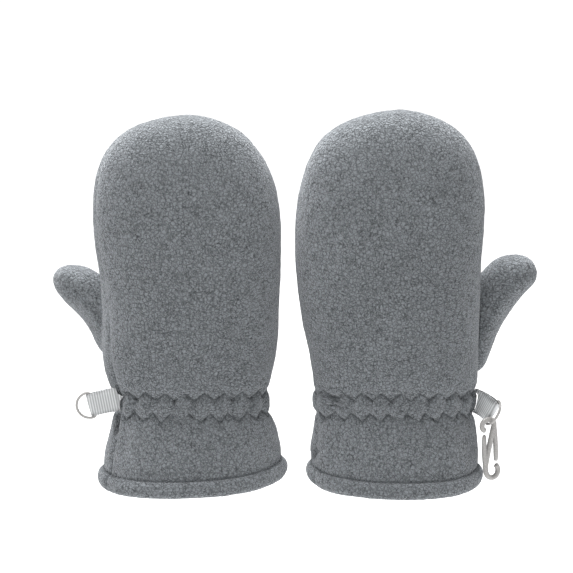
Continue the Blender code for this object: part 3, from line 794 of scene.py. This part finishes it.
    def flute(self, necks: Sequence["Neck"]) -> None:
        """Runs a soft flute out from each neck of the gathers, and a shorter one between the puffs.

        Args:
            necks: The necks of this mitten.
        """
        points = points_of(self.obj)
        moved = np.zeros_like(points)
        for neck in necks:
            if neck.panel != self.node:
                continue
            start, out = np.array(neck.at), np.array(neck.out)
            side = np.array([-out[1], out[0], 0.0])
            rise = (points[:, 2] - start[2]) * neck.way
            offset = (points - start) @ side - neck.lean * (points[:, 2] - start[2])
            near = (points - start) @ out > -self.behind
            t = np.clip(rise / neck.length, 0, 1)
            spread = neck.width * FLUTE_START * (1 + t)
            flute = (1 - t) ** FLUTE_TAPER * bell(offset, spread) * (rise >= 0)
            waist = bell(rise, self.waist_length) * bell(offset, self.waist_width) * (rise < 0)
            moved -= (near * (flute + waist) * neck.depth)[:, None] * out
        set_points(self.obj, points + moved)

    def tighten(self) -> None:
        """Draws the cloth in along the stitches, unevenly, and stores painted shade for the material in the
        stitched grooves and fold pockets.
        """
        points, normals = points_of(self.obj), normals_of(self.obj)
        groove_shade = np.zeros(len(points))
        if self.lines:
            surface = tree_of(self.obj)
            path = np.concatenate([densified(line.points, PATH_STEP) for line in self.lines])
            path = np.array([surface.find_nearest(Vector(p))[0] for p in path])
            pulls = np.array([self._pull(p) for p in path])
            tree = KDTree(len(path))
            for i, p in enumerate(path):
                tree.insert(p, i)
            tree.balance()
            found = [tree.find(p) for p in points]
            gaps = np.array([f[2] for f in found])
            pull = pulls[[f[1] for f in found]]
            points -= normals * (self.groove_depth * pull * bell(gaps, self.groove_width))[:, None]
            # Painted shade along the stitched grooves, as strong as the pull.
            groove_shade = pull * bell(gaps, 1.1 * self.groove_width)
            set_points(self.obj, points)
        groove_shade = np.maximum(groove_shade, self.pocket_shade)
        attribute = self.obj.data.attributes.new(GROOVE_SHADE, "FLOAT", "POINT")
        attribute.data.foreach_set("value", groove_shade.astype(np.float32))

    def _pull(self, point: np.ndarray) -> float:
        """Finds how hard the thread pulls: unevenly on the elastic, almost evenly at the hem.

        Args:
            point: A point on a stitch line.

        Returns:
            The pull, from 0 to 1.
        """
        lumps = 0.5 + self.pull_swing * noise.noise(Vector(point) / self.pull_size)
        if point[2] < self.hem_top:
            return self.hem_pull + self.hem_swing * lumps
        return min(1.0, max(self.least_pull, lumps))

    def sew_to(self, others: Sequence["FleecePiece"], reach: float, dark: float) -> np.ndarray:
        """Finds how the edge of this piece moves to meet its neighbours, and stores painted shade along the
        seam.

        Args:
            others: The pieces that it is sewn to.
            reach: How near a neighbour has to be.
            dark: How dark the painted shade along the seam is, from 0 to 1.

        Returns:
            The new points.
        """
        points, normals = points_of(self.obj), normals_of(self.obj)
        moved = points.copy()
        attribute = self.obj.data.attributes[GROOVE_SHADE]
        groove_shade = np.zeros(len(points), np.float32)
        attribute.data.foreach_get("value", groove_shade)
        for other in others:
            tree = tree_of(other.obj)
            for i, p in enumerate(points):
                at, _, _, gap = tree.find_nearest(Vector(p), reach)
                if at is not None and gap > TINY:
                    share = 1 - gap / reach
                    share = share * share * (3 - 2 * share)
                    moved[i] += (np.array(at) - p) * (SEAM_MEETING + SEAM_OVERLAP / gap) * share
                    moved[i] += normals[i] * self.plump * share
                    # Painted shade along the seam.
                    groove_shade[i] = max(groove_shade[i], dark * share)
        attribute.data.foreach_set("value", groove_shade)
        return moved

    def dress(self, material: bpy.types.Material, body: str) -> None:
        """Gives the piece its finish and its place in the frame.

        Args:
            material: The fleece's material.
            body: The body that it rides on.
        """
        self.obj.data.materials.append(material)
        smooth_shaded(self.obj)
        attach(self.obj, body)
        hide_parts(self.node)


@dataclass(frozen=True)
class Neck:
    """Where a flute leaves the gathers: its place, its direction out, its way up (1) or down, its sizes."""

    panel: str
    at: tuple[float, float, float]
    out: tuple[float, float, float]
    way: int
    length: float
    width: float
    depth: float
    lean: float


def chains(edges: Sequence[bmesh.types.BMEdge]) -> list[list[tuple[float, float, float]]]:
    """Joins edges that share points into paths.

    Args:
        edges: The edges, in any order.

    Returns:
        Paths of points in order.
    """
    links: dict[int, list[int]] = {}
    places: dict[int, tuple[float, float, float]] = {}
    for edge in edges:
        a, b = edge.verts
        places[a.index], places[b.index] = tuple(a.co), tuple(b.co)
        links.setdefault(a.index, []).append(b.index)
        links.setdefault(b.index, []).append(a.index)
    paths, used = [], set()
    ends = [i for i in links if len(links[i]) == 1] + list(links)
    for start in ends:
        if start in used:
            continue
        path, at = [start], start
        used.add(start)
        while True:
            on = [i for i in links[at] if i not in used]
            if not on:
                break
            at = on[0]
            used.add(at)
            path.append(at)
        paths.append([places[i] for i in path])
    return paths


def densified(points: Sequence[Sequence[float]], step: float) -> np.ndarray:
    """Fills a path with points.

    Args:
        points: The path's corners, in metres.
        step: About how far apart the new points are.

    Returns:
        The points in order.
    """
    made = []
    for a, b in zip(points[:-1], points[1:]):
        a, b = np.array(a), np.array(b)
        count = max(1, int(np.linalg.norm(b - a) / step))
        made.extend(a + (b - a) * k / count for k in range(count))
    made.append(np.array(points[-1]))
    return np.array(made)


def tree_of(obj: bpy.types.Object) -> BVHTree:
    """Makes a search tree of a piece's faces.

    Args:
        obj: The piece.

    Returns:
        The tree.
    """
    bm = bmesh.new()
    bm.from_mesh(obj.data)
    tree = BVHTree.FromBMesh(bm)
    bm.free()
    return tree


@dataclass
class Stitching:
    """Separate stitches of tonal thread that lie in the furrows of one mitten."""

    hand: Hand
    pitch: float = 2.3 * MM
    share: float = 0.72
    thick: float = 0.26 * MM
    lift: float = 0.05 * MM
    step: float = 0.1 * MM
    reach: float = 3.0 * MM
    run: int = 3

    def build(
        self, lines: Sequence[StitchLine], pieces: Sequence[FleecePiece], finish: bpy.types.Material
    ) -> None:
        """Lays a stitch at each step of every line, pressed onto the cloth.

        Args:
            lines: The stitch lines of the mitten.
            pieces: Its fleece pieces, as they are finished.
            finish: The thread's material.
        """
        deselect()
        bpy.ops.mesh.primitive_uv_sphere_add(segments=6, ring_count=6, radius=1.0)
        model = bpy.context.object
        stitches = []
        trees = {piece.node: tree_of(piece.obj) for piece in pieces}
        for line in lines:
            path = densified(line.points, self.step)
            steps = int(len(path) * self.step / self.pitch)
            for k in range(steps):
                i = int((k + 0.5) * len(path) / steps)
                j = min(len(path) - 1, i + self.run)
                i = max(0, j - 2 * self.run)
                middle, run = Vector(path[(i + j) // 2]), Vector(path[j] - path[i])
                at, out, _, _ = trees[line.panel].find_nearest(middle, self.reach)
                if at is None or run.length < TINY:
                    continue
                along = (run - out * run.dot(out)).normalized()
                across = out.cross(along)
                turn = Matrix((along, across, out)).transposed().to_4x4()
                size = Matrix.Diagonal((self.pitch * self.share / 2, self.thick, self.thick, 1.0))
                stitches.append(Matrix.Translation(at + out * self.lift) @ turn @ size)
        shape = points_of(model)
        faces = [list(p.vertices) for p in model.data.polygons]
        bpy.data.objects.remove(model)
        all_points, all_faces = [], []
        for k, matrix in enumerate(stitches):
            m = np.array(matrix)
            all_points.append(shape @ m[:3, :3].T + m[:3, 3])
            all_faces.extend([v + k * len(shape) for v in face] for face in faces)
        mesh = bpy.data.meshes.new(f"{self.hand.value}_stitches")
        mesh.from_pydata(np.concatenate(all_points).tolist(), [], all_faces)
        obj = bpy.data.objects.new(f"{self.hand.value}_stitches", mesh)
        bpy.context.scene.collection.objects.link(obj)
        mesh.materials.append(finish)
        smooth_shaded(obj)
        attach(obj, "mittens")
        LOG.info("%s: %d stitches", obj.name, len(stitches))


@dataclass
class Mitten:
    """The fleece of one mitten."""

    hand: Hand
    centre: float
    folds: tuple[Fold, ...]
    cuts: tuple[Cut, ...]
    seed: int
    seam_reach: float = 1.5 * MM
    # How dark the painted shade along the seams is.
    seam_shade: float = 0.12
    most_lean: float = 0.22
    flute_length: tuple[float, float] = (5.0 * MM, 14.0 * MM)
    flute_width: tuple[float, float] = (1.5 * MM, 2.6 * MM)
    flute_depth: tuple[float, float] = (0.35 * MM, 1.0 * MM)
    pieces: list[FleecePiece] = field(init=False)

    def build(self, frame: dict[str, Any], fleece: bpy.types.Material, thread: bpy.types.Material) -> None:
        """Makes every fleece piece, gathers and sews them, and adds the stitches.

        Args:
            fleece: The fleece's material.
            thread: The thread's material.
        """
        hand = self.hand.value
        self.pieces = [FleecePiece(f"{hand}_{cut.part}", cut.flat, cut.area) for cut in self.cuts]
        for piece in self.pieces:
            piece.grow(frame)
        lines = [line for piece in self.pieces for line in piece.lines]
        necks = self._necks(lines)
        for piece in self.pieces:
            if piece.lines:
                piece.soften(self.centre)
            piece.press(self.folds, self.centre)
            piece.flute(necks)
            piece.roughen()
            piece.tighten()
        self._sew()
        for piece in self.pieces:
            piece.dress(fleece, "mittens")
            LOG.info("%s: %d faces", piece.obj.name, len(piece.obj.data.polygons))
        Stitching(self.hand).build(lines, self.pieces, thread)

    def _necks(self, lines: Sequence[StitchLine]) -> list[Neck]:
        """Places a flute of its own length, width and depth at each neck of the two zigzags."""
        dice = random.Random(self.seed)
        necks = []
        for line in lines:
            if not line.gathered:
                continue
            points = [np.array(p) for p in line.points]
            way = 1 if points[0][2] > ELASTIC_HEIGHT else -1
            for k in range(1, len(points) - 1):
                before, here, after = (abs(points[i][2] - ELASTIC_HEIGHT) for i in (k - 1, k, k + 1))
                if here < before and here < after:
                    run = points[k + 1] - points[k - 1]
                    out = np.array([run[1], -run[0], 0.0])
                    out /= np.linalg.norm(out)
                    if out @ (points[k] - np.array([self.centre, 0.0, 0.0])) < 0:
                        out = -out
                    necks.append(
                        Neck(
                            panel=line.panel,
                            at=tuple(points[k]),
                            out=tuple(out),
                            way=way,
                            length=dice.uniform(*self.flute_length),
                            width=dice.uniform(*self.flute_width),
                            depth=dice.uniform(*self.flute_depth),
                            lean=dice.uniform(-self.most_lean, self.most_lean),
                        )
                    )
        return necks

    def _sew(self) -> None:
        """Moves the edges of neighbouring pieces until they touch."""
        back, palm, upper, lower = self.pieces
        partners = (
            (back, [palm]),
            (palm, [back, upper, lower]),
            (upper, [lower, palm]),
            (lower, [upper, palm]),
        )
        moved = [piece.sew_to(others, self.seam_reach, self.seam_shade) for piece, others in partners]
        for (piece, _), points in zip(partners, moved):
            set_points(piece.obj, points)


@dataclass
class WebbingTab:
    """A tape tab folded round its ring."""

    hand: Hand
    length: float
    width: float = 10.0 * MM
    pitch: float = 1.05 * MM
    thread: float = 0.55 * MM
    rib: float = 0.12 * MM
    cuts: int = 2
    edge: float = 0.18 * MM
    # Where the pressed sewn line crosses the tape near its root, how wide it is and how dark its painted shade
    # is.
    root_margin: float = 2.4 * MM
    root_width: float = 0.4 * MM
    root_shade: float = 0.6

    def build(self, frame: dict[str, Any], finish: bpy.types.Material) -> None:
        """Makes the ribbed tape.

        Args:
            finish: The webbing's material.
        """
        node = f"{self.hand.value}_tab"
        obj = copy_node(frame, node, f"webbing_{node}")
        ring = points_of(frame["nodes"][f"{self.hand.value}_ring"]).mean(axis=0)
        points = points_of(obj)
        middle = points.mean(axis=0)
        along = middle - ring
        along /= np.linalg.norm(along)
        spread = points - middle
        spread -= np.outer(spread @ along, along)
        across = np.linalg.eigh(spread.T @ spread)[1][:, -1]
        sharp = {"limit_method": "ANGLE", "angle_limit": math.radians(50)}
        apply_modifier(obj, "BEVEL", width=self.edge, segments=2, **sharp)
        apply_modifier(obj, "SUBSURF", levels=self.cuts, render_levels=self.cuts, subdivision_type="SIMPLE")
        points, normals = points_of(obj), normals_of(obj)
        far = (points - ring) @ along
        ribs = 0.5 + 0.5 * np.cos(2 * math.pi * far / self.pitch)
        root = bell(far - (far.max() - self.root_margin), self.root_width)
        set_points(obj, points - normals * (self.rib * (ribs + 1.5 * root))[:, None])
        # The pressed sewn line at the root also gets painted shade through the point attribute.
        attribute = obj.data.attributes.new(GROOVE_SHADE, "FLOAT", "POINT")
        attribute.data.foreach_set("value", (self.root_shade * root).astype(np.float32))
        layer = obj.data.uv_layers.new(name="weave")
        points = points_of(obj)
        u, v = (points - ring) @ along / self.pitch, (points - ring) @ across / self.thread
        index = np.empty(len(obj.data.loops), np.int32)
        obj.data.loops.foreach_get("vertex_index", index)
        layer.data.foreach_set("uv", np.stack([u[index], v[index]], axis=1).astype(np.float32).ravel())
        obj.data.materials.append(finish)
        smooth_shaded(obj)
        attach(obj, "mittens")
        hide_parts(node)
        LOG.info("%s: %d faces", obj.name, len(obj.data.polygons))


@dataclass
class PlasticPart:
    """A moulded ring or clip."""

    node: str
    body: str
    regrow: float
    levels: int = 2

    def build(self, frame: dict[str, Any], finish: bpy.types.Material) -> None:
        """Rounds the part, makes up what the rounding takes off, and gives it its plastic.

        Args:
            finish: The plastic's material.
        """
        obj = copy_node(frame, self.node, f"plastic_{self.node}")
        apply_modifier(obj, "SUBSURF", levels=self.levels, render_levels=self.levels)
        set_points(obj, points_of(obj) + normals_of(obj) * self.regrow)
        obj.data.materials.append(finish)
        smooth_shaded(obj)
        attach(obj, self.body)
        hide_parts(self.node)
        LOG.info("%s: %d faces", obj.name, len(obj.data.polygons))


@dataclass
class Studio:
    """Camera, lights and floor."""

    target: tuple[float, float, float] = (-2.08 * MM, 0.0, 49.5 * MM)
    distance: float = 1.1
    elevation: float = 8.0
    lens: float = 166.0
    floor_height: float = -0.115
    floor_size: float = 60.0
    room: float = 0.45
    floor: Floor = field(default_factory=Floor)

    def build(self) -> None:
        """Sets the whole studio up."""
        self._camera()
        self._floor()
        self._world()
        self._light("key", (-0.14, 0.13, 0.95), 0.6, 28.0)
        self._light("rim", (-0.80, 0.35, 0.50), 0.7, 1.5)
        bpy.context.scene.view_settings.view_transform = "Standard"

    def _camera(self) -> None:
        """Adds the camera at the photograph's angle."""
        lift = math.radians(self.elevation)
        data = bpy.data.cameras.new("camera")
        data.lens = self.lens
        data.sensor_width = 36.0
        data.clip_start, data.clip_end = 0.05, 20.0
        camera = bpy.data.objects.new("camera", data)
        back = Vector((0.0, -math.cos(lift), math.sin(lift)))
        camera.location = Vector(self.target) + back * self.distance
        camera.rotation_euler = (-back).to_track_quat("-Z", "Y").to_euler()
        bpy.context.scene.collection.objects.link(camera)
        bpy.context.scene.camera = camera

    def _floor(self) -> None:
        """Adds a flat floor plane."""
        deselect()
        bpy.ops.mesh.primitive_plane_add(size=self.floor_size, location=(0.0, 0.0, self.floor_height))
        obj = bpy.context.object
        obj.name = "floor"
        bpy.ops.object.transform_apply(location=True, rotation=True, scale=True)
        obj.data.materials.append(self.floor.make())

    def _world(self) -> None:
        """Lights the room in even white."""
        world = bpy.data.worlds.new("room")
        t = ShaderTree(world)
        room = t.node("ShaderNodeBackground", None, {"Color": (1.0, 1.0, 1.0, 1.0), "Strength": self.room})
        t.node("ShaderNodeOutputWorld", None, {"Surface": room.outputs[0]})
        bpy.context.scene.world = world

    def _light(self, name: str, place: tuple[float, float, float], size: float, power: float) -> None:
        """Adds a square soft light that faces the mittens.

        Args:
            name: Name of the light.
            place: Its place in metres.
            size: Its side in metres.
            power: Its power in watts.
        """
        data = bpy.data.lights.new(name, "AREA")
        data.energy, data.size = power, size
        light = bpy.data.objects.new(name, data)
        light.location = place
        light.rotation_euler = (Vector(place) - Vector(self.target)).to_track_quat("Z", "Y").to_euler()
        bpy.context.scene.collection.objects.link(light)


def main() -> None:
    """Builds the mittens' pieces in order."""
    logging.basicConfig(level=logging.INFO, format="%(name)s: %(message)s")
    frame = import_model()
    Studio().build()
    fleece, thread = Fleece().make(), Thread().make()
    webbing, plastic = Webbing().make(), ClearPlastic().make()
    Mitten(Hand.RIGHT, centre=-42.0 * MM, folds=RIGHT_FOLDS, cuts=RIGHT_CUTS, seed=11).build(
        frame, fleece, thread
    )
    Mitten(Hand.LEFT, centre=43.0 * MM, folds=LEFT_FOLDS, cuts=LEFT_CUTS, seed=23).build(
        frame, fleece, thread
    )
    for hand, length in ((Hand.RIGHT, 28.0 * MM), (Hand.LEFT, 24.5 * MM)):
        WebbingTab(hand, length).build(frame, webbing)
        ring = f"{hand.value}_ring"
        PlasticPart(ring, f"{ring}_body", regrow=0.06 * MM).build(frame, plastic)
    PlasticPart("clip", "clip_body", regrow=0.28 * MM).build(frame, plastic)


if __name__ == "__main__":
    main()
